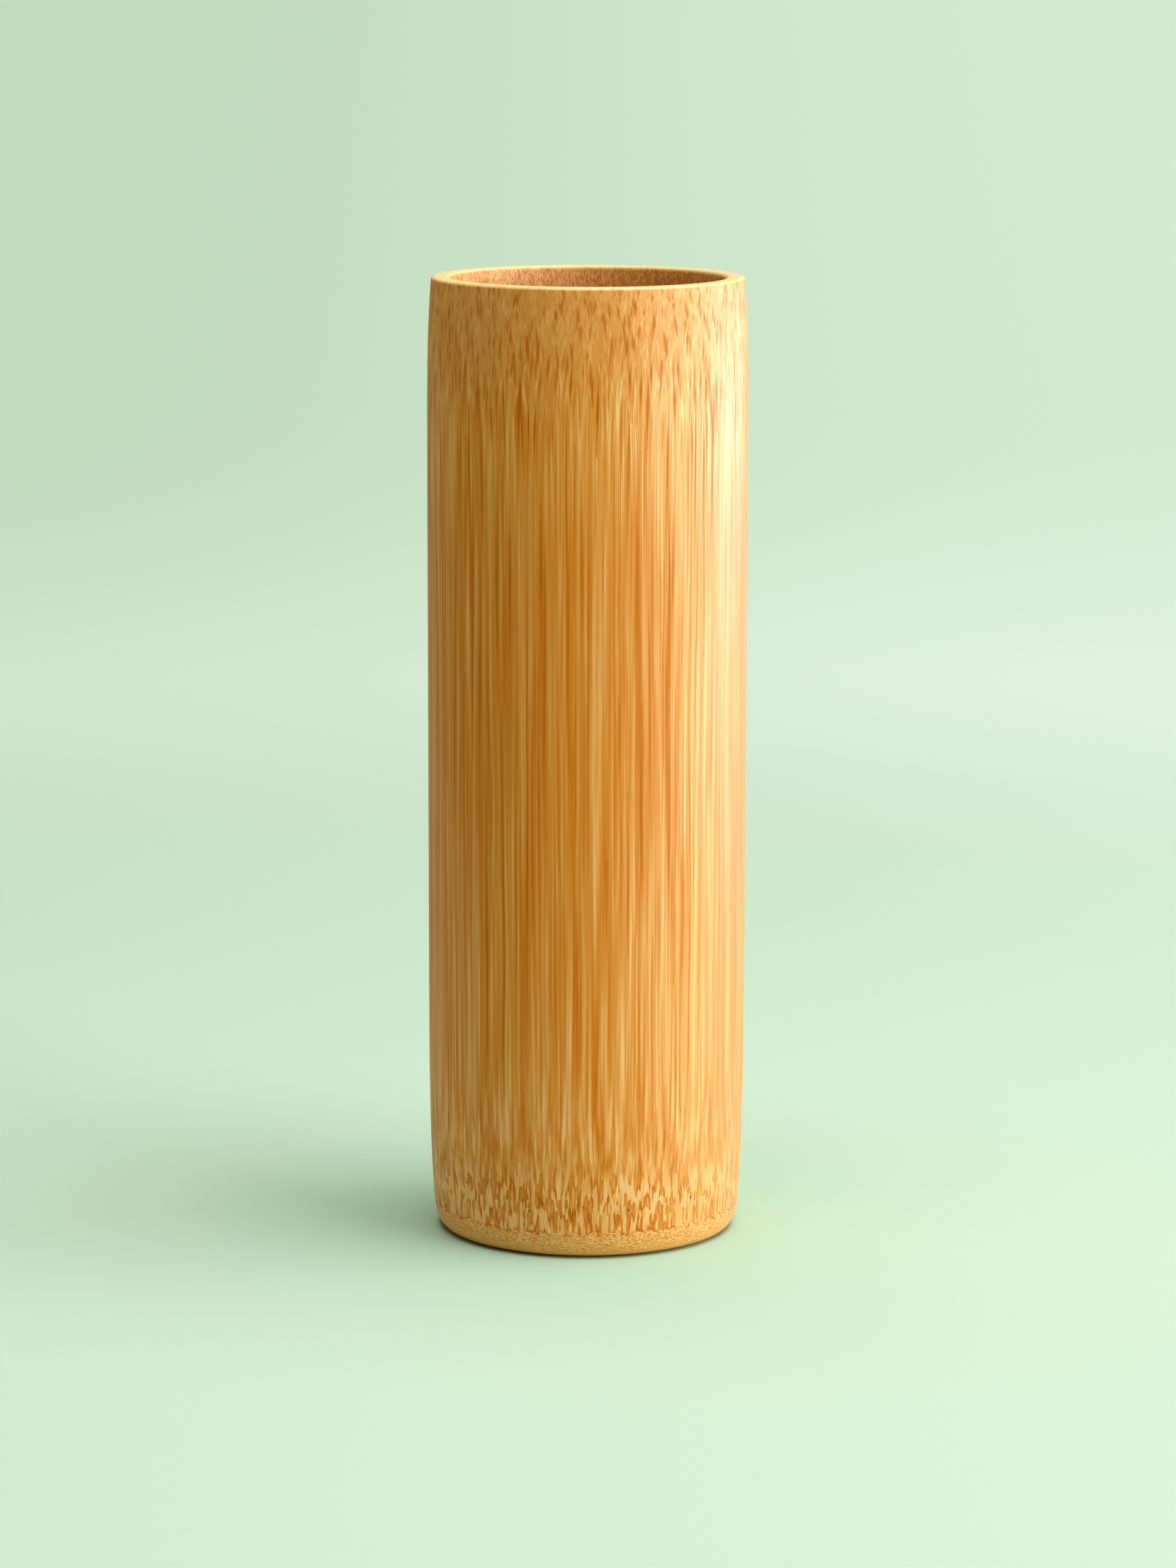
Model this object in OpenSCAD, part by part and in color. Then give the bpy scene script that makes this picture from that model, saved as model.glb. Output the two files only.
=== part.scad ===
// A tall cup turned from one internode of a bamboo culm.
// The culm's own node closes the foot: a ring of node tissue round the outside and a septum across it.
// The frame: +Z is up, the origin is the middle of the foot, and all sizes are in millimetres.

/* [Cup] */
// Height from the foot to the rim
cup_h = 200; // [120:1:260]
// Outer diameter of the straight middle of the wall
body_d = 66.26; // [56:0.01:90]
// Thickness of the wall at the straight middle
wall_t = 4.83; // [3.6:0.01:7]

/* [Rim] */
// How far the wall draws in at the rim, measured on the radius
rim_draw = 0.86; // [0:0.01:1.6]
// Height below the rim at which the wall starts to draw in
rim_draw_h = 40; // [15:1:60]
// Radius of the softened outer edge of the rim
rim_outer_round = 0.8; // [0.2:0.05:1]
// Radius of the softened inner edge of the rim
rim_inner_round = 1; // [0.2:0.05:1.2]

/* [Foot] */
// How far the wall draws in towards the foot, measured on the radius
foot_draw = 1.01; // [0:0.01:2]
// Height at which the wall starts to draw in towards the foot
foot_draw_h = 70; // [20:1:80]
// Height of the rounded corner between the wall and the floor
foot_round_h = 5.7; // [2:0.1:9]
// How far that corner turns in from the wall's own line, measured on the radius
foot_round_w = 2.05; // [1:0.05:3.5]
// How far the edge of the foot stays clear of the table, where a fine dark line shows under the cup
foot_lift = 0.35; // [0.1:0.05:0.6]
// Width of the shallow slope that leads from that edge down to the ring that the cup stands on
foot_lift_w = 1.3; // [0.6:0.1:2]
// Width of the ring that the cup stands on
foot_ring_w = 2.9; // [1.5:0.1:5]
// Radius of the softened inner edge of that ring
foot_inner_round = 0.6; // [0.2:0.05:1]

/* [Node] */
// Height of the band of node tissue, where the wall's straight fibres end
node_h = 6; // [4.5:0.1:12]
// Height of the hollow under the septum
hollow_h = 2.4; // [1:0.1:3.4]
// Thickness of the septum where it meets the ring
septum_t = 3.4; // [2:0.1:6]
// Rise of the septum's middle over its edge
septum_crown = 0.7; // [0:0.05:2]
// Radius of the fillet between the septum and the wall
floor_fillet = 1.4; // [0.6:0.1:3]
// How deep the septum's edge is rooted in the wall
root_depth = 0.9; // [0.4:0.05:1.4]

/* [Hidden] */
$fn = 180;

// Exponents of the two draw-ins: a higher one keeps the wall straight for longer
rim_draw_power = 3.6;
foot_draw_power = 4.5;
// Steps along each curved stretch of an outline
draw_steps = 36;
round_steps = 12;
foot_steps = 24;

body_r = body_d / 2;
bore_r = body_r - wall_t;
foot_edge_r = body_r - foot_draw;
foot_slope = foot_draw * foot_draw_power / (foot_draw_h - foot_round_h);
foot_low_r = foot_edge_r - foot_slope * (foot_round_h - foot_lift) - foot_round_w;
contact_r = foot_low_r - foot_lift_w;
hollow_r = contact_r - foot_ring_w;
rim_draw_z = cup_h - rim_draw_h;
rim_edge_z = cup_h - rim_outer_round;
rim_edge_r = body_r - rim_draw;
root_r = bore_r + root_depth;
floor_z = hollow_h + septum_t;
root_top_z = floor_z + floor_fillet;

long_grain = [0.80, 0.60, 0.35];
node_tissue = [0.84, 0.66, 0.42];
inner_tissue = [0.70, 0.49, 0.27];

// Radius of the outside at a height above the rounded corner of the foot and below the rim's edge
function wall_r(z) =
    z < foot_draw_h
        ? body_r - foot_draw * pow((foot_draw_h - z) / (foot_draw_h - foot_round_h), foot_draw_power)
    : z > rim_draw_z
        ? body_r - rim_draw * pow((z - rim_draw_z) / (rim_edge_z - rim_draw_z), rim_draw_power)
    : body_r;

// Share of the corner's height that is left below the wall at a height
function corner_share(z) = (foot_round_h - z) / (foot_round_h - foot_lift);

// Radius of the rounded corner of the foot: the wall's slope carries on, and an ellipse turns it under
function corner_r(z) =
    foot_edge_r - foot_slope * (foot_round_h - z) - foot_round_w * (1 - sqrt(1 - pow(corner_share(z), 2)));

// Radius of the outside at any height below the rim's edge
function outer_r(z) = z < foot_round_h ? corner_r(z) : wall_r(z);

// Points of an outline from one height to another, at even steps
function outside(z_from, z_to, steps) =
    [for (i = [0 : steps]) let (z = z_from + (z_to - z_from) * i / steps) [outer_r(z), z]];

// Points round the foot's corner, closer together where it turns under
function corner(z_to, steps) =
    let (turn = acos(max(corner_share(z_to), 0)))
    [for (i = [0 : steps])
        let (z = foot_round_h - (foot_round_h - foot_lift) * cos(turn * i / steps))
        [outer_r(z), z]];

// Points of an arc about a centre, from one angle to another
function arc(centre, radius, from, to, steps) =
    [for (i = [0 : steps])
        let (a = from + (to - from) * i / steps)
        centre + radius * [cos(a), sin(a)]];

// Height of the septum's crown over its edge, a shallow curve from the middle outwards
function crown_z(r) = septum_crown * (1 - pow(min(r / hollow_r, 1), 2));

// The internode: straight vertical fibres, turned outside and reamed inside
module culm_wall() {
    color(long_grain)
    rotate_extrude()
    polygon(concat(
        outside(node_h, foot_draw_h, draw_steps),
        outside(rim_draw_z, rim_edge_z, draw_steps),
        arc([rim_edge_r - rim_outer_round, rim_edge_z], rim_outer_round, 0, 90, round_steps),
        arc([bore_r + rim_inner_round, cup_h - rim_inner_round], rim_inner_round, 90, 180, round_steps),
        node_h < root_top_z
            ? [[bore_r, root_top_z], [root_r, root_top_z], [root_r, node_h]]
            : [[bore_r, node_h]]
    ));
}

// The band of node tissue round the foot, with the ledge that the septum grows from
module node_ring() {
    corner_top = min(node_h, foot_round_h);
    color(node_tissue)
    rotate_extrude()
    polygon(concat(
        [[contact_r, 0]],
        corner(corner_top, foot_steps),
        corner_top < node_h ? [[outer_r(node_h), node_h]] : [],
        node_h > root_top_z
            ? [[bore_r, node_h], [bore_r, root_top_z], [root_r, root_top_z]]
            : [[root_r, node_h]],
        [[root_r, hollow_h], [hollow_r, hollow_h]],
        arc([hollow_r + foot_inner_round, foot_inner_round], foot_inner_round, 180, 270, round_steps)
    ));
}

// The wall that grows across the culm at a node: the cup's floor. Its edge is rooted in the wall and the ring
module septum() {
    floor_r = bore_r - floor_fillet;
    color(inner_tissue)
    rotate_extrude()
    polygon(concat(
        [for (i = [0 : draw_steps]) let (r = hollow_r * i / draw_steps) [r, hollow_h + crown_z(r)]],
        [[root_r, hollow_h], [root_r, root_top_z]],
        arc([floor_r, root_top_z], floor_fillet, 0, -90, round_steps),
        [for (i = [draw_steps : -1 : 0])
            let (r = min(hollow_r, floor_r) * i / draw_steps)
            [r, floor_z + crown_z(r) - crown_z(min(hollow_r, floor_r))]]
    ));
}

culm_wall();
node_ring();
septum();
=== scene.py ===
"""A bamboo cup on a pale green sweep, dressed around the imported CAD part. Object-space units are metres."""
import math

import bpy
import numpy as np
from mathutils import Matrix, Vector


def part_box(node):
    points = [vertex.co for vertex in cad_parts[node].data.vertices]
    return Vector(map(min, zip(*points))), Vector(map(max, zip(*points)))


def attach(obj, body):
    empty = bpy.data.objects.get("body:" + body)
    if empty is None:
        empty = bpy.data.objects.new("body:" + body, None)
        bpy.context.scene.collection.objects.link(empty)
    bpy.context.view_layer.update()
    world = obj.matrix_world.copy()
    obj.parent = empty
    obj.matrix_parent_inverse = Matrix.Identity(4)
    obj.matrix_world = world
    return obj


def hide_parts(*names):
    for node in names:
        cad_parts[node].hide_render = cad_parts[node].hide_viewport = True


MM = 0.001

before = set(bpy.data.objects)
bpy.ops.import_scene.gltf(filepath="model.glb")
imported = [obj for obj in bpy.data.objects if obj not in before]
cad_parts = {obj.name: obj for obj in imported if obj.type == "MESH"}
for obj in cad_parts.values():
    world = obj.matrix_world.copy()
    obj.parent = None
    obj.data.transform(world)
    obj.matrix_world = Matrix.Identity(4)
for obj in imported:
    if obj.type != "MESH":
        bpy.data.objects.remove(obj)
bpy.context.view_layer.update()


# Sizes in millimetres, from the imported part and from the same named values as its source
_, wall_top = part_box("culm_wall")
_, ring_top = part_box("node_ring")
_, septum_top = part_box("septum")
CUP_H = wall_top.z / MM
BODY_R = wall_top.x / MM
NODE_H = ring_top.z / MM
ROOT_TOP_Z = septum_top.z / MM
WALL_T = 4.83
BORE_R = BODY_R - WALL_T
RIM_DRAW, RIM_DRAW_Z, RIM_POWER = 0.86, 160.0, 3.6
RIM_OUTER_ROUND, RIM_INNER_ROUND = 0.8, 1.0
RIM_EDGE_Z = CUP_H - RIM_OUTER_ROUND
RIM_EDGE_R = BODY_R - RIM_DRAW
FOOT_DRAW, FOOT_DRAW_Z, FOOT_POWER = 1.01, 70.0, 4.5
FOOT_ROUND_H, FOOT_ROUND_W = 5.7, 2.05
FOOT_EDGE_R = BODY_R - FOOT_DRAW
FOOT_SLOPE = FOOT_DRAW * FOOT_POWER / (FOOT_DRAW_Z - FOOT_ROUND_H)
FOOT_LIFT, FOOT_LIFT_W, FOOT_RING_W = 0.35, 1.3, 2.9
CONTACT_R = FOOT_EDGE_R - FOOT_SLOPE * (FOOT_ROUND_H - FOOT_LIFT) - FOOT_ROUND_W - FOOT_LIFT_W
HOLLOW_R = CONTACT_R - FOOT_RING_W
FOOT_INNER_ROUND = 0.6
HOLLOW_H, SEPTUM_T, SEPTUM_CROWN, FLOOR_FILLET = 2.4, 3.4, 0.7, 1.4
ROOT_DEPTH = 0.9
ROOT_R = BORE_R + ROOT_DEPTH
FLOOR_Z = HOLLOW_H + SEPTUM_T

# How finely the pieces are turned: faces once round, and steps on a rounded edge and on a long curve
WALL_FACES, FLOOR_FACES = 576, 144
ROUND_STEPS, CURVE_STEPS = 8, 24
# Height up to which the rows of the wall stay close together, over the foot's curve
CLOSE_ROWS_Z = 30.0
# Steps up the wall to that height, to the rim's draw-in and to the rim's edge, and down the bore
LOW_STEPS, MIDDLE_STEPS, RIM_STEPS, BORE_STEPS = 24, 52, 26, 36
# Steps across the flat of the rim and of the foot
FLAT_STEPS = 6
# Degrees between two faces from which their edge is sharp
SHARP_ANGLE = 50
# Millimetres under which a point lies on the axis, and under which two points are the same
ON_AXIS, SAME_POINT = 1e-9, 1e-6

# The camera: a 117 mm lens about a metre away, looking down ten degrees, fitted to the photograph's outline
CAMERA_DISTANCE, CAMERA_HEIGHT = 1.050683, 0.279315
CAMERA_PITCH, CAMERA_ROLL, CAMERA_YAW = 10.002, 0.115, 0.0122
CAMERA_LENS, CAMERA_LONG_SIDE = 117.2, 36.0
CAMERA_CLIP_START, CAMERA_CLIP_END = 0.05, 30.0


def add_camera():
    """The camera in front of the cup and a little above it."""
    data = bpy.data.cameras.new("camera")
    data.sensor_width = CAMERA_LONG_SIDE
    data.lens = CAMERA_LENS
    data.clip_start = CAMERA_CLIP_START
    data.clip_end = CAMERA_CLIP_END
    camera = bpy.data.objects.new("camera", data)
    camera.location = (0, -CAMERA_DISTANCE, CAMERA_HEIGHT)
    pitch = math.radians(CAMERA_PITCH)
    ahead = Vector((0, math.cos(pitch), -math.sin(pitch)))
    look = ahead.to_track_quat("-Z", "Y").to_matrix()
    look = Matrix.Rotation(math.radians(-CAMERA_YAW), 3, "Z") @ look
    look = look @ Matrix.Rotation(math.radians(CAMERA_ROLL), 3, "Z")
    camera.rotation_euler = look.to_euler()
    bpy.context.scene.collection.objects.link(camera)
    bpy.context.scene.camera = camera


# The turned outlines, as (radius, height) points in millimetres
def wall_r(z):
    """Radius of the outside above the rounded corner of the foot and below the rim's edge."""
    low = np.clip((FOOT_DRAW_Z - z) / (FOOT_DRAW_Z - FOOT_ROUND_H), 0, None)
    high = np.clip((z - RIM_DRAW_Z) / (RIM_EDGE_Z - RIM_DRAW_Z), 0, None)
    return BODY_R - FOOT_DRAW * low ** FOOT_POWER - RIM_DRAW * high ** RIM_POWER


def corner_r(z):
    """Radius of the foot's rounded corner: the wall's slope carries on and an ellipse turns it under."""
    share = (FOOT_ROUND_H - z) / (FOOT_ROUND_H - FOOT_LIFT)
    turn = 1 - np.sqrt(np.clip(1 - share ** 2, 0, None))
    return FOOT_EDGE_R - FOOT_SLOPE * (FOOT_ROUND_H - z) - FOOT_ROUND_W * turn


def arc(centre, radius, start, end):
    """Points on a rounded edge, from one angle in degrees to another."""
    turn = np.radians(np.linspace(start, end, ROUND_STEPS + 1))
    return np.stack([centre[0] + radius * np.cos(turn), centre[1] + radius * np.sin(turn)], 1)


def along(start, end, steps):
    """Points on a straight run, both ends included."""
    part = np.linspace(0, 1, steps + 1)[:, None]
    return (1 - part) * np.array(start) + part * np.array(end)


def joined(*runs):
    """One closed outline from runs that may share their end points."""
    points = np.concatenate(runs)
    apart = np.linalg.norm(points - np.roll(points, 1, axis=0), axis=1) > SAME_POINT
    return points[apart]


def wall_outline():
    """The internode: up the outside, over the rim and down the bore to the septum's root."""
    heights = np.concatenate([
        np.linspace(NODE_H, CLOSE_ROWS_Z, LOW_STEPS + 1),
        np.linspace(CLOSE_ROWS_Z, RIM_DRAW_Z, MIDDLE_STEPS + 1)[1:],
        np.linspace(RIM_DRAW_Z, RIM_EDGE_Z, RIM_STEPS + 1)[1:],
    ])
    return joined(
        np.stack([wall_r(heights), heights], 1),
        arc((RIM_EDGE_R - RIM_OUTER_ROUND, RIM_EDGE_Z), RIM_OUTER_ROUND, 0, 90),
        along((RIM_EDGE_R - RIM_OUTER_ROUND, CUP_H), (BORE_R + RIM_INNER_ROUND, CUP_H), FLAT_STEPS),
        arc((BORE_R + RIM_INNER_ROUND, CUP_H - RIM_INNER_ROUND), RIM_INNER_ROUND, 90, 180),
        along((BORE_R, CUP_H - RIM_INNER_ROUND), (BORE_R, ROOT_TOP_Z), BORE_STEPS),
        along((BORE_R, ROOT_TOP_Z), (ROOT_R, ROOT_TOP_Z), 1),
        along((ROOT_R, ROOT_TOP_Z), (ROOT_R, NODE_H), 1),
        along((ROOT_R, NODE_H), (wall_r(NODE_H), NODE_H), 2),
    )


def ring_outline():
    """The node ring: out over the lifted edge, up the corner, in under the wall and down the hollow."""
    turn = np.radians(np.linspace(90, 0, CURVE_STEPS + 1))
    heights = FOOT_ROUND_H - (FOOT_ROUND_H - FOOT_LIFT) * np.sin(turn)
    return joined(
        along((CONTACT_R, 0), (corner_r(FOOT_LIFT), FOOT_LIFT), 3),
        np.stack([corner_r(heights), heights], 1),
        [[wall_r(NODE_H), NODE_H]],
        along((wall_r(NODE_H), NODE_H), (ROOT_R, NODE_H), 2),
        along((ROOT_R, NODE_H), (ROOT_R, HOLLOW_H), 2),
        along((ROOT_R, HOLLOW_H), (HOLLOW_R, HOLLOW_H), 2),
        along((HOLLOW_R, HOLLOW_H), (HOLLOW_R, FOOT_INNER_ROUND), 3),
        arc((HOLLOW_R + FOOT_INNER_ROUND, FOOT_INNER_ROUND), FOOT_INNER_ROUND, 180, 270),
        along((HOLLOW_R + FOOT_INNER_ROUND, 0), (CONTACT_R, 0), FLAT_STEPS),
    )


def septum_outline():
    """The septum: out along its underside, up its root, round the fillet and back in over the floor."""
    floor_r = BORE_R - FLOOR_FILLET
    radii = np.linspace(0, HOLLOW_R, CURVE_STEPS + 1)
    crown = SEPTUM_CROWN * (1 - (radii / HOLLOW_R) ** 2)
    return joined(
        np.stack([radii, HOLLOW_H + crown], 1),
        along((HOLLOW_R, HOLLOW_H), (ROOT_R, HOLLOW_H), 1),
        along((ROOT_R, HOLLOW_H), (ROOT_R, ROOT_TOP_Z), 1),
        along((ROOT_R, ROOT_TOP_Z), (BORE_R, ROOT_TOP_Z), 1),
        arc((floor_r, ROOT_TOP_Z), FLOOR_FILLET, 0, -90),
        along((floor_r, FLOOR_Z), (HOLLOW_R, FLOOR_Z), 1),
        np.stack([radii[::-1], FLOOR_Z + crown[::-1]], 1),
    )


def lathe(name, outline, around):
    """A closed mesh turned about Z from an outline whose inside lies on its left.

    Points on the axis become one point.
    """
    angles = np.arange(around) * 2 * math.pi / around
    rows, points = [], []
    for r, z in outline:
        if r < ON_AXIS:
            rows.append([len(points)] * around)
            points.append((0.0, 0.0, z * MM))
            continue
        rows.append(range(len(points), len(points) + around))
        points += [(r * MM * c, r * MM * s, z * MM) for c, s in zip(np.cos(angles), np.sin(angles))]
    faces = []
    for i, low in enumerate(rows):
        high = rows[(i + 1) % len(rows)]
        for j in range(around):
            k = (j + 1) % around
            corners = [low[j], low[k], high[k], high[j]]
            face = [v for n, v in enumerate(corners) if v not in corners[:n]]
            if len(face) > 2:
                faces.append(face)
    mesh = bpy.data.meshes.new(name)
    mesh.from_pydata(points, [], faces)
    mesh.update()
    mesh.shade_smooth()
    mesh.set_sharp_from_angle(angle=math.radians(SHARP_ANGLE))
    unroll(mesh, outline, around)
    obj = bpy.data.objects.new(name, mesh)
    bpy.context.scene.collection.objects.link(obj)
    return obj


def unroll(mesh, outline, around):
    """A texture map for the export: once round in one direction, along the outline in the other."""
    steps = np.linalg.norm(np.diff(outline, axis=0, append=outline[:1]), axis=1)
    way = np.concatenate([[0], np.cumsum(steps)]) / steps.sum()
    on_axis = outline[:, 0] < ON_AXIS
    spots = []
    for i in range(len(outline)):
        axis_low = on_axis[i]
        axis_high = on_axis[(i + 1) % len(outline)]
        if axis_low and axis_high:
            continue
        low, high = way[i], way[i + 1]
        for j in range(around):
            left, right = j / around, (j + 1) / around
            if axis_low:
                spots += [(left, low), (right, high), (left, high)]
            elif axis_high:
                spots += [(left, low), (right, low), (right, high)]
            else:
                spots += [(left, low), (right, low), (right, high), (left, high)]
    layer = mesh.uv_layers.new(name="OFBake")
    layer.data.foreach_set("uv", np.array(spots, np.float32).ravel())


class Graph:
    """Adds nodes to a shader tree. An input is a number, a tuple or another node's output."""

    def __init__(self, tree):
        self.tree = tree
        tree.nodes.clear()

    def put(self, kind, inputs, **settings):
        """A new node with its inputs set or linked."""
        node = self.tree.nodes.new(kind)
        for name, value in settings.items():
            setattr(node, name, value)
        for key, value in inputs.items():
            if isinstance(value, bpy.types.NodeSocket):
                self.tree.links.new(value, node.inputs[key])
            else:
                node.inputs[key].default_value = value
        return node

    def math(self, operation, *values):
        return self.put("ShaderNodeMath", dict(enumerate(values)), operation=operation).outputs[0]

    def add(self, *values):
        total = values[0]
        for value in values[1:]:
            total = self.math("ADD", total, value)
        return total

    def minus(self, a, b):
        return self.math("SUBTRACT", a, b)

    def times(self, a, b):
        return self.math("MULTIPLY", a, b)

    def unsigned(self, value):
        """A number without its sign."""
        return self.math("ABSOLUTE", value)

    def length(self, x, y):
        return self.math("SQRT", self.add(self.times(x, x), self.times(y, y)))

    def vector(self, operation, a, b):
        second = 3 if operation == "SCALE" else 1
        return self.put("ShaderNodeVectorMath", {0: a, second: b}, operation=operation).outputs[0]

    def join(self, x, y, z):
        return self.put("ShaderNodeCombineXYZ", {0: x, 1: y, 2: z}).outputs[0]

    def split(self, v):
        return self.put("ShaderNodeSeparateXYZ", {0: v}).outputs

    def shift(self, value, low, high, start, end, **settings):
        """The number from start to end that lies as far on as the value lies from low to high."""
        inputs = {"Value": value, "From Min": low, "From Max": high, "To Min": start, "To Max": end}
        return self.put("ShaderNodeMapRange", inputs, **settings).outputs["Result"]

    def ease(self, value, low, high, start=0.0, end=1.0):
        """A smooth step from start at low to end at high."""
        return self.shift(value, low, high, start, end, interpolation_type="SMOOTHSTEP")

    def spread(self, value, low, high, start=0.0, end=1.0, clamp=True):
        """A straight map from low..high to start..end."""
        return self.shift(value, low, high, start, end, clamp=clamp)

    def noise(self, at, size, detail=0.0, roughness=0.5, output="Fac"):
        """Noise between 0 and 1 whose lumps are about size apart."""
        inputs = {"Vector": at, "Scale": 1 / size, "Detail": detail, "Roughness": roughness}
        return self.put("ShaderNodeTexNoise", inputs).outputs[output]

    def voronoi(self, at, size, **settings):
        """The outputs of a pattern of cells about size apart."""
        return self.put("ShaderNodeTexVoronoi", {"Vector": at, "Scale": 1 / size}, **settings).outputs

    def cells(self, at, size):
        """How far it is to the middle of the nearest cell, in sizes, and the cell's own number."""
        cell = self.voronoi(at, size)
        return cell["Distance"], self.split(cell["Color"])[0]

    def walls(self, at, size):
        """How far it is to the nearest wall between the same cells, in sizes."""
        return self.voronoi(at, size, feature="DISTANCE_TO_EDGE")["Distance"]

    def from_middle(self, at, size):
        """How far it is sideways and upwards from the nearest cell's middle, and the cell's own number."""
        cell = self.voronoi(at, size)
        x, y, z = self.split(self.vector("SUBTRACT", at, cell["Position"]))
        return self.length(x, y), self.unsigned(z), self.split(cell["Color"])[0]

    def blend(self, part, a, b):
        """A number between a and b."""
        return self.put("ShaderNodeMix", {0: part, 2: a, 3: b}).outputs[0]

    def tint(self, part, a, b):
        """A colour between a and b."""
        return self.put("ShaderNodeMix", {0: part, 6: a, 7: b}, data_type="RGBA").outputs[2]

    def ramp(self, value, stops):
        """A colour that goes from stop to stop as the value goes from 0 to 1."""
        node = self.put("ShaderNodeValToRGB", {0: value})
        elements = node.color_ramp.elements
        while len(elements) < len(stops):
            elements.new(0.5)
        for element, (place, colour) in zip(elements, stops):
            element.position = place
            element.color = colour
        return node.outputs[0]


def srgb(red, green, blue):
    """A colour written as 0 to 255, as the shader's linear colour."""
    def linear(v):
        v /= 255
        return v / 12.92 if v <= 0.04045 else ((v + 0.055) / 1.055) ** 2.4
    return (linear(red), linear(green), linear(blue), 1.0)


# The streaks of the wall run nearly straight at mid height, where the surface follows the bundles.
# Towards both ends the bundles pass through the surface ever faster, so their cuts shorten into dashes.
MID_RATE = 0.014
RIM_RUN_Z, RIM_RUN_LENGTH, RIM_RUN = 155.0, 45.0, 7.0
FOOT_RUN_Z, FOOT_RUN_LENGTH, FOOT_RUN = 50.0, 44.0, -3.3
RUN_POWER = 3.2
# How far the bundles wander to each side on their way up the culm
WANDER = 0.4
# How far a bundle leans to the side while it passes through the surface
LEAN = 0.4
# The bundles that lean to the left and to the right, each with the place in the noise they are taken from
BOTH_LEANS = ((LEAN, (3.0, 13.0, 19.0)), (-LEAN, (47.0, 29.0, 5.0)))

# Heights at which the band of node tissue and the blunt columns above it end
BAND_Z, COLUMN_Z = 5.8, 11.4
# Heights over which the flames give way to streaks, and over which their edges soften
FLAME_ZONE, SOFT_ZONE = (23.0, 15.0), (13.0, 22.0)
# Heights over which the open pits begin and end
PIT_START_ZONE, PIT_END_ZONE = (7.5, 9.0), (16.0, 13.0)
# Heights over which the streaks grow stronger towards the foot and the rim, and the share of it at the foot
FOOT_CROSS_ZONE, RIM_CROSS_ZONE, FOOT_CROSS_SHARE = (50.0, 34.0), (145.0, 168.0), 0.5
# Heights over which the streaks turn into a weave, and over which the weave reaches its shortest drops
WEAVE_ZONE, RIM_ZONE = (140.0, 166.0), (174.0, 194.0)
# Heights over which the tissue grows paler towards the foot, and what that adds to the lightness
PALE_ZONE, PALE_TONE = (105.0, 25.0), 0.1
# X over which the side towards +X, where the key lamp stands, is painted paler and plainer as painted light,
# how far it does, and the lightness it nears
PAINTED_LIGHT_SIDE, PAINTED_LIGHT_SIDE_SHARE, PAINTED_LIGHT_SIDE_TONE = (8.0, 30.0), 0.35, 0.62
# Heights over which the lowest edge is darkened with painted contact shade where the foot meets the floor,
# and how much
FOOT_EDGE_SHADE_ZONE, FOOT_EDGE_SHADE_SHARE = (0.8, 0.45), 0.85

# Colours of the tissue, from the darkest gaps to the palest sheaths
TONES = [
    (0.0, srgb(175, 88, 0)),
    (0.2, srgb(191, 103, 0)),
    (0.4, srgb(205, 119, 10)),
    (0.6, srgb(213, 134, 35)),
    (0.8, srgb(223, 156, 71)),
    (1.0, srgb(235, 182, 116)),
]
CREAM, CREAM_SHARE = srgb(240, 190, 136), 0.1
# Painted shade in the open pits and painted glints beside them
PIT_PAINTED_SHADE, PAINTED_GLINT = srgb(98, 48, 8), srgb(252, 228, 186)
# Painted contact shade along the foot's lowest edge
FOOT_EDGE_SHADE = srgb(72, 46, 14)
CUT_END, CUT_DOT = srgb(255, 210, 164), srgb(206, 142, 80)
INNER, INNER_ARC = srgb(196, 118, 46), srgb(236, 182, 116)


def centred(g, value, amount):
    """How far a value from 0 to 1 lies above its middle, times an amount."""
    return g.times(g.minus(value, 0.5), amount)


def scaled(g, x, y, z, across, up):
    """A place scaled by one number across the culm and by another one up it."""
    return g.join(g.times(x, across), g.times(y, across), g.times(z, up))


def bundle_run(g, z):
    """How far the bundles have moved through the surface at a height, in millimetres of the cross-section."""
    def part(height, length, amount):
        way = g.math("MAXIMUM", g.math("DIVIDE", height, length), 0.0)
        return g.times(g.math("POWER", way, RUN_POWER), amount)
    up = part(g.minus(z, RIM_RUN_Z), RIM_RUN_LENGTH, RIM_RUN)
    down = part(g.minus(FOOT_RUN_Z, z), FOOT_RUN_LENGTH, FOOT_RUN)
    return g.add(g.times(z, MID_RATE), up, down)


def wandering(g, x, y, z):
    """The bundles' place in the culm's cross-section, which wanders a little on the way up."""
    at = scaled(g, x, y, z, across=0.15, up=0.022)
    aside, back, _ = g.split(g.noise(at, size=1.0, detail=1.0, output="Color"))
    return tuple(
        g.add(start, g.spread(move, 0, 1, -WANDER, WANDER, clamp=False))
        for start, move in ((x, aside), (y, back))
    )


def leaning(g, x, y, run, lean, start):
    """The place in the noise for bundles that lean to one side as they pass through the surface."""
    turn = g.times(run, lean / BODY_R)
    at = g.join(g.minus(x, g.times(y, turn)), g.add(y, g.times(x, turn)), run)
    return g.vector("ADD", at, start)


def patches(g, x, y, run):
    """Wide patches of lighter and darker tissue, drawn out a little along the run."""
    start, run_share = 17.0, 0.8
    return g.noise(g.join(x, g.add(y, start), g.times(run, run_share)), size=2.4)


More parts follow.
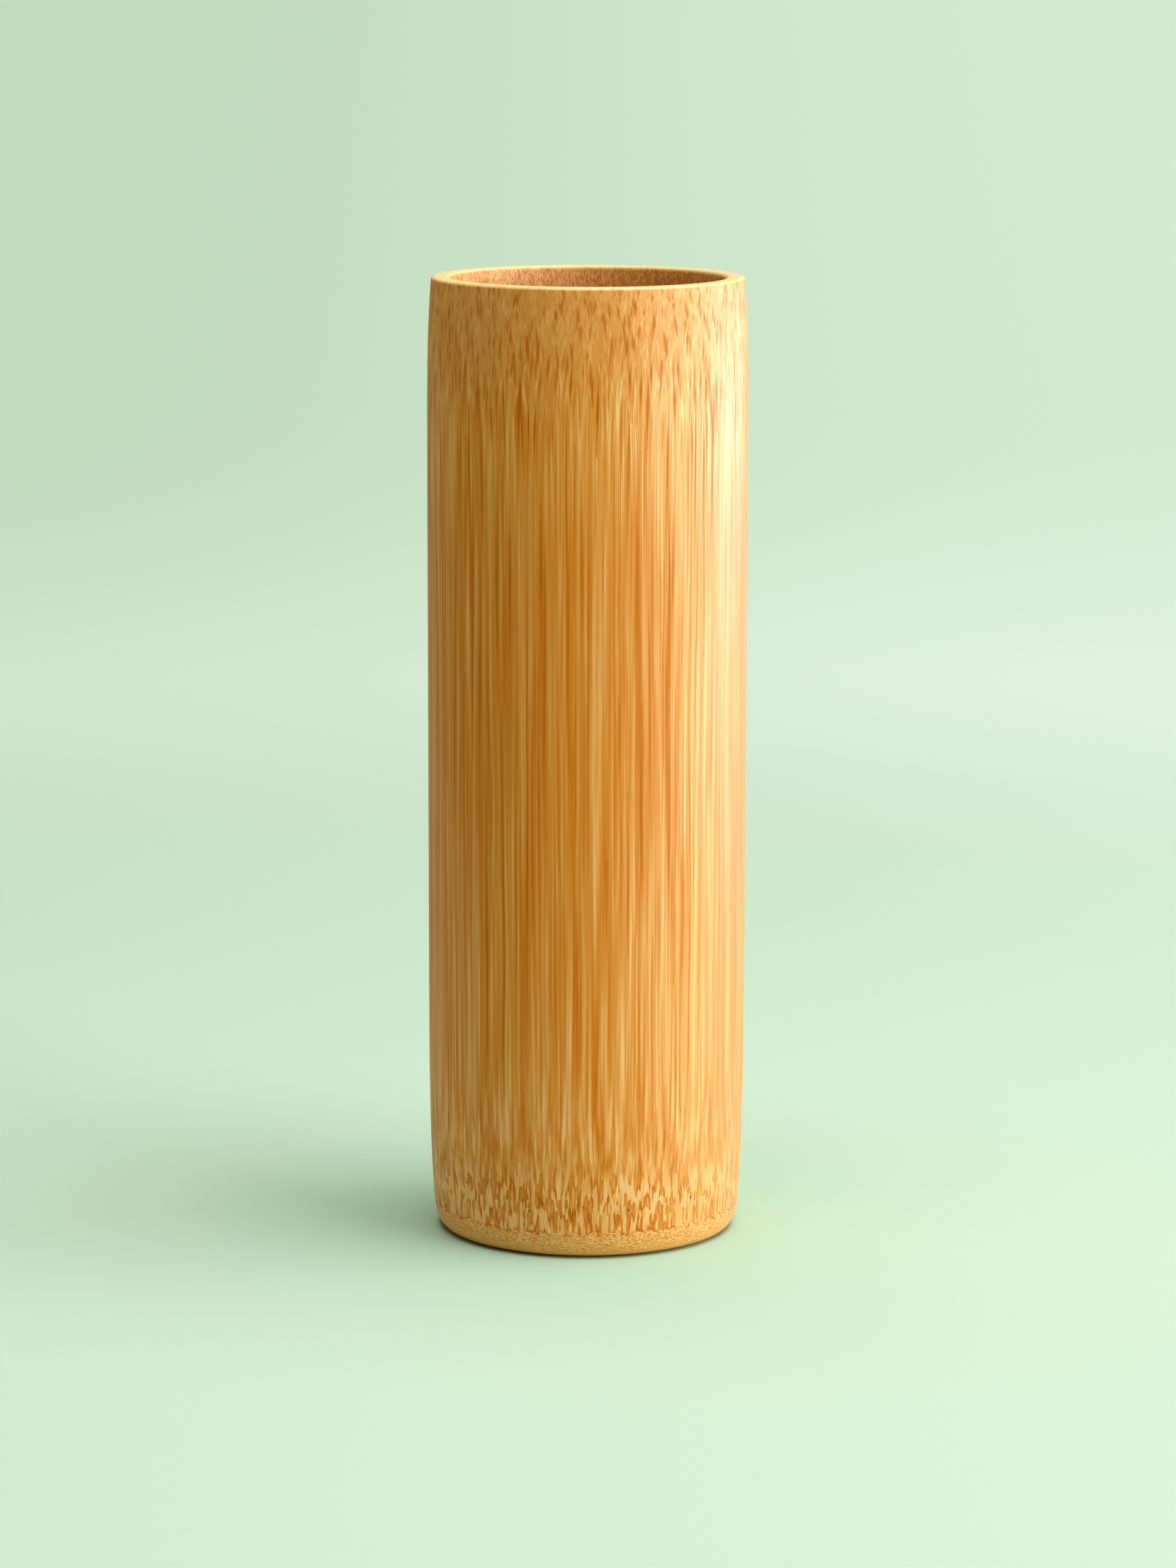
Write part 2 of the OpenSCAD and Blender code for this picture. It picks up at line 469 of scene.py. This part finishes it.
def streak_tone(g, x, y, z, run, fine):
    """Lightness of the cut bundles, about 0.5 in the mean: dark gaps, pale sheaths and finer fibres.

    Some of the bundles lean to the left and some to the right, so that their cuts cross towards both ends.
    A finer part of the tissue keeps its line for longer, so its cut is the more drawn out.
    """
    ground = 0.52
    bundle_sizes, fibre_size, fibre_run_share = (0.75, 0.9), 0.55, 0.6
    # From where to where in the bundles' noise a dark gap and a pale sheath come up
    gap_edge, sheath_edge = (0.465, 0.425), (0.56, 0.6)
    # What a gap and a sheath add to the lightness at mid height, and where the cuts cross
    gap_tones, sheath_tones = (-0.11, -0.16), (0.08, 0.1)

    cross = g.add(g.ease(z, *RIM_CROSS_ZONE), g.ease(z, *FOOT_CROSS_ZONE, 0.0, FOOT_CROSS_SHARE))
    tone = ground
    for (lean, start), size in zip(BOTH_LEANS, bundle_sizes):
        bundle = g.noise(leaning(g, x, y, run, lean, start), size, detail=1.0, roughness=0.35)
        tone = g.add(
            tone,
            g.times(g.ease(bundle, *gap_edge), g.blend(cross, *gap_tones)),
            g.times(g.ease(bundle, *sheath_edge), g.blend(cross, *sheath_tones)),
            centred(g, bundle, amount=0.15),
        )
    fibre_distance, fibre_chance = g.cells(g.join(x, y, g.times(run, fibre_run_share)), fibre_size)
    return g.add(
        tone,
        centred(g, fibre_distance, amount=0.3),
        centred(g, fibre_chance, amount=0.15),
        centred(g, fine, amount=0.6),
        centred(g, patches(g, x, y, run), amount=0.16),
    )


def weave_tone(g, x, y, run, rim, fine):
    """Lightness where the bundles slant through the surface: pale sheaths round tapered orange drops."""
    bundle_sizes, run_share, sheath_run_share = (1.25, 1.05), 0.75, 0.8
    # A sheath's width and a drop's half width and half length, as shares of the bundle's size
    sheath_share, drop_width_share, drop_length_share = 0.14, 0.42, 0.85
    # Where a drop starts and where it is full, as shares of the way out from its middle
    drop_edge = (1.0, 0.55)
    # Drops of cells with low numbers are fainter
    faint_chances, faintest = (0.2, 0.6), 0.3
    # Lightness of the ground, and what a sheath and a drop add to it, below the rim and at the rim
    grounds, sheath_tones, drop_tones = (0.52, 0.58), (0.17, 0.06), (-0.38, -0.42)

    wide = patches(g, x, y, run)
    tone = g.add(g.blend(rim, *grounds), centred(g, fine, amount=0.7), centred(g, wide, amount=0.25))
    for (lean, start), size in zip(BOTH_LEANS, bundle_sizes):
        at = leaning(g, x, y, g.times(run, run_share), lean, start)
        drawn_out = g.vector("MULTIPLY", at, (1.0, 1.0, sheath_run_share))
        sheath = g.ease(g.walls(drawn_out, size), sheath_share, 0.0)
        sideways, upwards, chance = g.from_middle(at, size)
        taper = g.add(
            g.times(sideways, 1 / (drop_width_share * size)),
            g.times(upwards, 1 / (drop_length_share * size)),
        )
        drop = g.times(g.ease(taper, *drop_edge), g.ease(chance, *faint_chances, faintest))
        tone = g.add(
            tone,
            g.times(sheath, g.blend(rim, *sheath_tones)),
            g.times(centred(g, chance, amount=-0.15), g.blend(rim, 1.0, 0.5)),
            g.times(drop, g.blend(rim, *drop_tones)),
        )
    return tone


def flame_tone(g, x, y, z, run, fine):
    """Lightness just above the node: pale rounded fingers with dark-edged orange islands between them."""
    noise_start = (5.0, 17.0, 9.0)
    island_tone, finger_tone, outline_tone = 0.4, 0.78, -0.3
    # Where in the noise a finger's edge and the middle of an island's dark outline lie
    finger_edge, outline_middle, outline_half_width = 0.48, 0.45, 0.05
    # How soft a finger's edge is in the flames, and where they give way to streaks
    softness = (0.035, 0.13)

    soft = g.ease(z, *SOFT_ZONE, *softness)
    at = g.join(x, y, run)
    shape = g.noise(g.vector("ADD", at, noise_start), size=0.9, detail=2.0, roughness=0.4)
    finger = g.ease(shape, g.minus(finger_edge, soft), g.add(finger_edge, soft))
    outline = g.ease(g.unsigned(g.minus(shape, outline_middle)), outline_half_width, 0.0)
    return g.add(
        g.blend(finger, island_tone, finger_tone),
        g.times(outline, outline_tone),
        g.times(centred(g, fine, amount=1.4), g.blend(finger, 1.0, 0.6)),
        centred(g, g.noise(at, size=3.0), amount=0.3),
    )


def column_tone(g, x, y, z, run, fine, columns):
    """Lightness of the flames, cut off below by blunt columns, each with a rounded top of its own."""
    # The lowest and the highest top from COLUMN_Z, the drop towards a column's side, and how soft its edge is
    lowest, highest, side_drop, softness = -1.6, 2.2, -2.2, 0.08
    # The tissue in a column is another part of the flames' noise, more drawn out
    column_run_share, column_run_start = 0.55, 7.0

    distance, chance = columns
    cap = g.times(g.times(distance, distance), side_drop)
    top = g.add(COLUMN_Z, g.spread(chance, 0.0, 1.0, lowest, highest), cap)
    in_column = g.ease(g.minus(z, top), softness, -softness)
    above = flame_tone(g, x, y, z, run, fine)
    column_run = g.add(g.times(run, column_run_share), column_run_start)
    return g.blend(in_column, above, flame_tone(g, x, y, z, column_run, fine))


def band_tone(g, x, y, z):
    """Lightness of the node tissue: small orange gaps in wavy rows, plainer at the bottom."""
    ground, wave_height, row_rate = 0.78, 2.0, 10.5
    plain_zone, plain_share = (0.6, 3.4), 0.3

    wave = g.noise(scaled(g, x, y, z, across=0.5, up=0.25), size=1.0, detail=1.0)
    height = g.add(z, g.times(wave, wave_height))
    rows = g.math("SINE", g.times(height, row_rate))
    at = scaled(g, x, y, height, across=1.4, up=1.9)
    distance, chance = g.cells(at, size=1.0)
    speckle = g.add(
        g.times(rows, 0.14),
        centred(g, distance, amount=0.5),
        centred(g, chance, amount=0.15),
        centred(g, g.noise(at, size=0.5), amount=0.7),
    )
    return g.add(ground, g.times(speckle, g.ease(z, *plain_zone, plain_share)))


def over_band(g, tone, x, y, z, columns):
    """The tone with the band under it: the columns end on it raggedly, with small dark notches between."""
    # How far an end lies above or below the band's edge at most, how much lower the edge lies between two
    # columns, and how soft it is
    reach, arch, softness = 0.5, 0.4, 0.15
    # A notch's height above and below the edge, and where it lies in a cell, each from bare to full
    notch_height, notch_side, notch_tone = (0.45, 0.1), (0.3, 0.6), -0.35

    distance, chance = columns
    edge = g.add(z, g.spread(chance, 0.0, 1.0, -reach, reach), g.times(distance, arch), -BAND_Z)
    notch = g.times(g.ease(g.unsigned(edge), *notch_height), g.ease(distance, *notch_side))
    tone = g.blend(g.ease(edge, -softness, softness), band_tone(g, x, y, z), tone)
    return g.add(tone, g.times(notch, notch_tone))


def with_shaded_pits_and_glints(g, colour, x, y, z):
    """The colour with open pits darkened with painted shade and bright specks of painted glint where the
    bundles bend above the node.
    """
    # Edges as distances from a cell's middle, from bare to full, and how strongly each shows
    pit_edge, pit_shade_share = (0.13, 0.08), 0.85
    glint_edge, glint_share = (0.09, 0.04), 0.6
    # Cells with a number over the first have a pit, and cells with a number under the second have a glint
    pit_chance, glint_chance = 0.45, 0.2
    height_share = 0.6

    distance, chance = g.cells(g.join(x, y, g.times(z, height_share)), size=2.2)
    zone = g.times(g.ease(z, *PIT_START_ZONE), g.ease(z, *PIT_END_ZONE))
    pit_shade = g.times(g.ease(distance, *pit_edge), g.times(zone, g.math("GREATER_THAN", chance, pit_chance)))
    glint = g.times(g.ease(distance, *glint_edge), g.times(zone, g.math("LESS_THAN", chance, glint_chance)))
    # The pits' dark is painted shade, and the specks are painted glints
    colour = g.tint(g.times(pit_shade, pit_shade_share), colour, PIT_PAINTED_SHADE)
    return g.tint(g.times(glint, glint_share), colour, PAINTED_GLINT)


def with_cut_end(g, colour, x, y, z, r):
    """The colour with the paler cut end of the wall at the rim.

    The ends of the bundles show there as small dots, fewer towards the inside.
    """
    # How far below the top the cut end starts to show and is full
    start_depth, full_depth = 0.7, 0.1
    cut_end_share, dot_share = 0.85, 0.4
    # The share of the cells with a dot at the bore, and a dot's edge from bare to full
    inner_chance, dot_edge = 0.25, (0.42, 0.2)
    cell_start = 5.0

    cut_end = g.ease(z, CUP_H - start_depth, CUP_H - full_depth)
    distance, chance = g.cells(g.join(g.add(x, cell_start), y, 0.0), size=0.62)
    has_dot = g.math("LESS_THAN", chance, g.spread(r, BORE_R, BODY_R, inner_chance, 1.0))
    dot = g.times(g.ease(distance, *dot_edge), has_dot)
    end_grain = g.tint(g.times(dot, dot_share), CUT_END, CUT_DOT)
    return g.tint(g.times(cut_end, cut_end_share), colour, end_grain)


def with_inside(g, colour, x, y, z, r):
    """The colour with the reamed inside duller and redder, under fine pale arcs."""
    # How far outside the bore the inside's colour starts and is full, and how far below the top it is full
    start_depth, full_depth, below_top = 0.9, 0.3, 1.0
    inside_share, arc_half_width = 0.7, 0.12

    in_bore = g.ease(r, BORE_R + start_depth, BORE_R + full_depth)
    inside = g.times(in_bore, g.ease(z, CUP_H, CUP_H - below_top))
    arcs = g.noise(scaled(g, x, y, z, across=1.9, up=0.7), size=1.0, detail=1.0)
    line = g.ease(g.unsigned(g.minus(arcs, 0.5)), arc_half_width, 0.0)
    return g.tint(g.times(inside, inside_share), colour, g.tint(line, INNER, INNER_ARC))


def bamboo(name):
    """Turned bamboo as a solid: fibre bundles run up the wall, and any cut through them shows how they lie.

    The pattern depends on the place alone, so the wall, the node ring and the septum meet without a seam.
    """
    fine_start, fine_run_share = 31.0, 0.35
    relief_strength, relief_height = 0.5, 0.08
    # Roughness of the darkest and of the palest tissue, and what the rim adds
    roughnesses, rim_roughness = (0.54, 0.44), 0.1
    # Lightness from and up to which the gloss grows, and its level there
    gloss_tones, gloss_levels = (0.2, 0.8), (0.12, 0.7)

    material = bpy.data.materials.new(name)
    material.use_nodes = True
    g = Graph(material.node_tree)
    x, y, z = g.split(g.vector("SCALE", g.put("ShaderNodeTexCoord", {}).outputs["Object"], 1 / MM))
    r = g.length(x, y)
    qx, qy = wandering(g, x, y, z)
    run = bundle_run(g, z)
    rim = g.ease(z, *RIM_ZONE)
    fine_at = g.join(g.add(qx, fine_start), qy, g.times(run, fine_run_share))
    fine = g.noise(fine_at, size=0.27, detail=1.0)
    columns = g.cells(g.join(qx, qy, 0.0), size=1.3)

    streaks = streak_tone(g, qx, qy, z, run, fine)
    tone = g.blend(g.ease(z, *WEAVE_ZONE), streaks, weave_tone(g, qx, qy, run, rim, fine))
    tone = g.blend(g.ease(z, *FLAME_ZONE), tone, column_tone(g, qx, qy, z, run, fine, columns))
    tone = g.add(tone, g.ease(z, *PALE_ZONE, 0.0, PALE_TONE))
    # Painted light: the side towards the key lamp at +X is made paler and plainer
    tone = g.blend(g.ease(x, *PAINTED_LIGHT_SIDE, 0.0, PAINTED_LIGHT_SIDE_SHARE), tone, PAINTED_LIGHT_SIDE_TONE)
    tone = over_band(g, tone, x, y, z, columns)

    colour = g.ramp(g.spread(tone, 0.0, 1.0), TONES)
    # Tissue that was sanded across its grain looks a little creamier
    colour = g.tint(g.times(rim, CREAM_SHARE), colour, CREAM)
    colour = with_shaded_pits_and_glints(g, colour, qx, qy, z)
    # Painted shade: the lowest edge is darkened where the foot meets the floor
    colour = g.tint(g.ease(z, *FOOT_EDGE_SHADE_ZONE, 0.0, FOOT_EDGE_SHADE_SHARE), colour, FOOT_EDGE_SHADE)
    colour = with_cut_end(g, colour, qx, qy, z, r)
    colour = with_inside(g, colour, x, y, z, r)

    # Pale tissue is a little smoother and glossier than the orange gaps, and the fibres are in fine relief
    relief = {"Height": fine, "Strength": relief_strength, "Distance": relief_height * MM}
    shader = g.put("ShaderNodeBsdfPrincipled", {
        "Base Color": colour,
        "Roughness": g.add(g.spread(tone, 0.0, 1.0, *roughnesses), g.times(rim, rim_roughness)),
        "Specular IOR Level": g.spread(tone, *gloss_tones, *gloss_levels),
        "Normal": g.put("ShaderNodeBump", relief).outputs[0],
    })
    g.put("ShaderNodeOutputMaterial", {"Surface": shader.outputs[0]})
    return material


# The sweep in metres: where its floor starts and where it bends up, the bend's radius, and half the width
FLOOR_START, BEND_START, BEND_R, SWEEP_HALF_W = -4.0, 0.9, 3.2, 5.0
BEND_STEPS = 48
# The height in metres that the lamps are aimed at
AIM_Z = 0.09

# Colours of the paper near the cup, painted greener and lighter to colour the cup's shadow, a little further
# off, of its fibres, and of the painted contact shade under the foot
PAPER_SHADE_TINT, PAPER_FURTHER = srgb(184, 207, 197), srgb(190, 204, 198)
PAPER_FIBRE, PAPER_CONTACT_SHADE = srgb(181, 198, 186), srgb(160, 174, 130)
# The green that the camera sees further off, at the left and at the right, and the same far away: painted
# light, lighter to the right and nearer the cup
MIDDLE_GREENS = (srgb(208, 232, 204), srgb(228, 246, 227))
DISTANT_GREENS = (srgb(194, 220, 190), srgb(211, 234, 208))
# The green that the camera sees past the sweep, and the light that the room really gives
ROOM_GREEN, ROOM_LIGHT = srgb(200, 225, 197), (0.9, 1.0, 0.75, 1.0)
# Distances from the axis in metres over which the paper takes its painted shade colours near the cup and
# under the foot
SHADE_TINT_ZONE, PAPER_CONTACT_ZONE = (0.1, 0.035), (0.0315, 0.0298)
# Distances over which the even green takes over, and over which it turns into the distant one
GREEN_ZONE, DISTANT_ZONE = (0.3, 0.8), (0.5, 1.4)
# X over which both greens are graded from left to right
ACROSS_ZONE = (-0.28, 0.28)
# Metres of y + DARK_TURN * x, in front of the cup and to its left, over which gloss stops seeing the paper
DARK_ZONE, DARK_TURN = (-0.1, -0.5), 0.9


def green_paper():
    """Pale green paper, which takes the cup's shadow nearby with painted shade tints round the cup and under
    its foot, and far away is seen as a green graded with painted light.
    """
    grain_size, grain_share = 0.004, 0.05

    material = bpy.data.materials.new("pale_green_paper")
    material.use_nodes = True
    g = Graph(material.node_tree)
    place = g.put("ShaderNodeTexCoord", {}).outputs["Object"]
    x, y, _ = g.split(place)
    away = g.length(x, y)
    grain = g.noise(place, grain_size, detail=3.0)
    # Painted light and shade: near the cup the paper is tinted greener and lighter, which colours the cup's
    # shadow and cancels its orange bounce
    paper = g.tint(g.ease(away, *SHADE_TINT_ZONE), PAPER_FURTHER, PAPER_SHADE_TINT)
    paper = g.tint(g.spread(grain, 0.3, 0.7, 0.0, grain_share), paper, PAPER_FIBRE)
    # Painted shade: the paper under the foot's rounded edge is darkened to an olive contact shade
    paper = g.tint(g.ease(away, *PAPER_CONTACT_ZONE), paper, PAPER_CONTACT_SHADE)
    shader = g.put("ShaderNodeBsdfPrincipled", {
        "Base Color": paper,
        "Roughness": 0.9,
        "Specular IOR Level": 0.1,
    })
    # Painted light: far from the cup the green is graded lighter to the right, where the key lamp stands, and
    # darker far away
    across = g.ease(x, *ACROSS_ZONE)
    middle = g.tint(across, *MIDDLE_GREENS)
    distant = g.tint(across, *DISTANT_GREENS)
    seen = g.tint(g.ease(away, *DISTANT_ZONE), middle, distant)
    rays = g.put("ShaderNodeLightPath", {}).outputs
    plain_green = g.put("ShaderNodeEmission", {"Color": seen, "Strength": rays["Is Camera Ray"]})
    # Gloss finds the dark side of the room behind the camera
    far = g.add(
        g.times(rays["Is Camera Ray"], g.ease(away, *GREEN_ZONE)),
        g.times(rays["Is Glossy Ray"], g.ease(g.add(y, g.times(x, DARK_TURN)), *DARK_ZONE)),
    )
    mixed = g.put("ShaderNodeMixShader", {0: far, 1: shader.outputs[0], 2: plain_green.outputs[0]})
    g.put("ShaderNodeOutputMaterial", {"Surface": mixed.outputs[0]})
    return material


def add_stage():
    """A sweep of paper: floor in front and under the cup, rising into a wall far behind it."""
    turn = np.radians(np.linspace(-90, 0, BEND_STEPS + 1))
    bend = [(BEND_START + BEND_R * math.cos(t), BEND_R + BEND_R * math.sin(t)) for t in turn]
    path = [(FLOOR_START, 0.0)] + bend
    points = [(side * SWEEP_HALF_W, y, z) for y, z in path for side in (-1, 1)]
    faces = [(2 * i, 2 * i + 1, 2 * i + 3, 2 * i + 2) for i in range(len(path) - 1)]
    mesh = bpy.data.meshes.new("sweep")
    mesh.from_pydata(points, [], faces)
    mesh.shade_smooth()
    mesh.materials.append(green_paper())
    obj = bpy.data.objects.new("sweep", mesh)
    bpy.context.scene.collection.objects.link(obj)


def add_softbox(name, azimuth, elevation, distance, size, power, colour):
    """A rectangular area light aimed at the cup, in metres, degrees and watts.

    Azimuth 0 is the camera's side and 90 its right.
    """
    data = bpy.data.lights.new(name, "AREA")
    data.shape = "RECTANGLE"
    data.size, data.size_y = size
    data.energy = power
    data.color = colour
    light = bpy.data.objects.new(name, data)
    a, e = math.radians(azimuth), math.radians(elevation)
    way = Vector((math.sin(a) * math.cos(e), -math.cos(a) * math.cos(e), math.sin(e)))
    light.location = Vector((0, 0, AIM_Z)) + distance * way
    light.rotation_euler = (-way).to_track_quat("-Z", "Y").to_euler()
    bpy.context.scene.collection.objects.link(light)
    return light


def add_light():
    """A soft studio: a wide key low at the right, a large lamp overhead and a weak warm fill at the left.

    Two more lamps at the right, edge and sheen, show only in the gloss. The room gives a faint even light.
    """
    world = bpy.data.worlds.new("studio")
    world.use_nodes = True
    g = Graph(world.node_tree)
    rays = g.put("ShaderNodeLightPath", {}).outputs
    light = g.put("ShaderNodeBackground", {"Color": ROOM_LIGHT, "Strength": 0.22})
    # Past the edges of the sweep the room is seen as the same green
    seen = g.put("ShaderNodeBackground", {"Color": ROOM_GREEN, "Strength": 1.0})
    mixed = g.put("ShaderNodeMixShader", {0: rays["Is Camera Ray"], 1: light.outputs[0], 2: seen.outputs[0]})
    g.put("ShaderNodeOutputWorld", {"Surface": mixed.outputs[0]})
    bpy.context.scene.world = world
    world.cycles_visibility.glossy = False
    add_softbox(
        "key", azimuth=74, elevation=16, distance=1.7,
        size=(2.2, 0.8), power=42.0, colour=(1.0, 0.98, 0.96),
    )
    edge = add_softbox(
        "edge", azimuth=118, elevation=1, distance=1.7,
        size=(1.0, 0.5), power=34.0, colour=(1.0, 0.95, 1.05),
    )
    edge.visible_diffuse = False
    sheen = add_softbox(
        "sheen", azimuth=76, elevation=2, distance=1.7,
        size=(1.2, 0.5), power=38.0, colour=(0.3, 0.9, 0.6),
    )
    sheen.visible_diffuse = False
    add_softbox(
        "overhead", azimuth=80, elevation=84, distance=1.8,
        size=(1.6, 1.6), power=38.0, colour=(0.82, 1.0, 0.74),
    )
    fill = add_softbox(
        "fill", azimuth=-60, elevation=4, distance=1.7,
        size=(1.4, 0.6), power=4.0, colour=(1.0, 0.66, 0.36),
    )
    fill.visible_glossy = False


add_camera()

for name, node, slot, outline, around in (
    ("cup_wall", "culm_wall", "long_grain", wall_outline(), WALL_FACES),
    ("foot_band", "node_ring", "node_tissue", ring_outline(), WALL_FACES),
    ("cup_floor", "septum", "inner_tissue", septum_outline(), FLOOR_FACES),
):
    piece = lathe(name, outline, around)
    piece.data.materials.append(bamboo("bamboo_" + slot))
    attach(piece, "root")
    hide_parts(node)

add_stage()
add_light()
bpy.context.scene.view_settings.view_transform = "Standard"
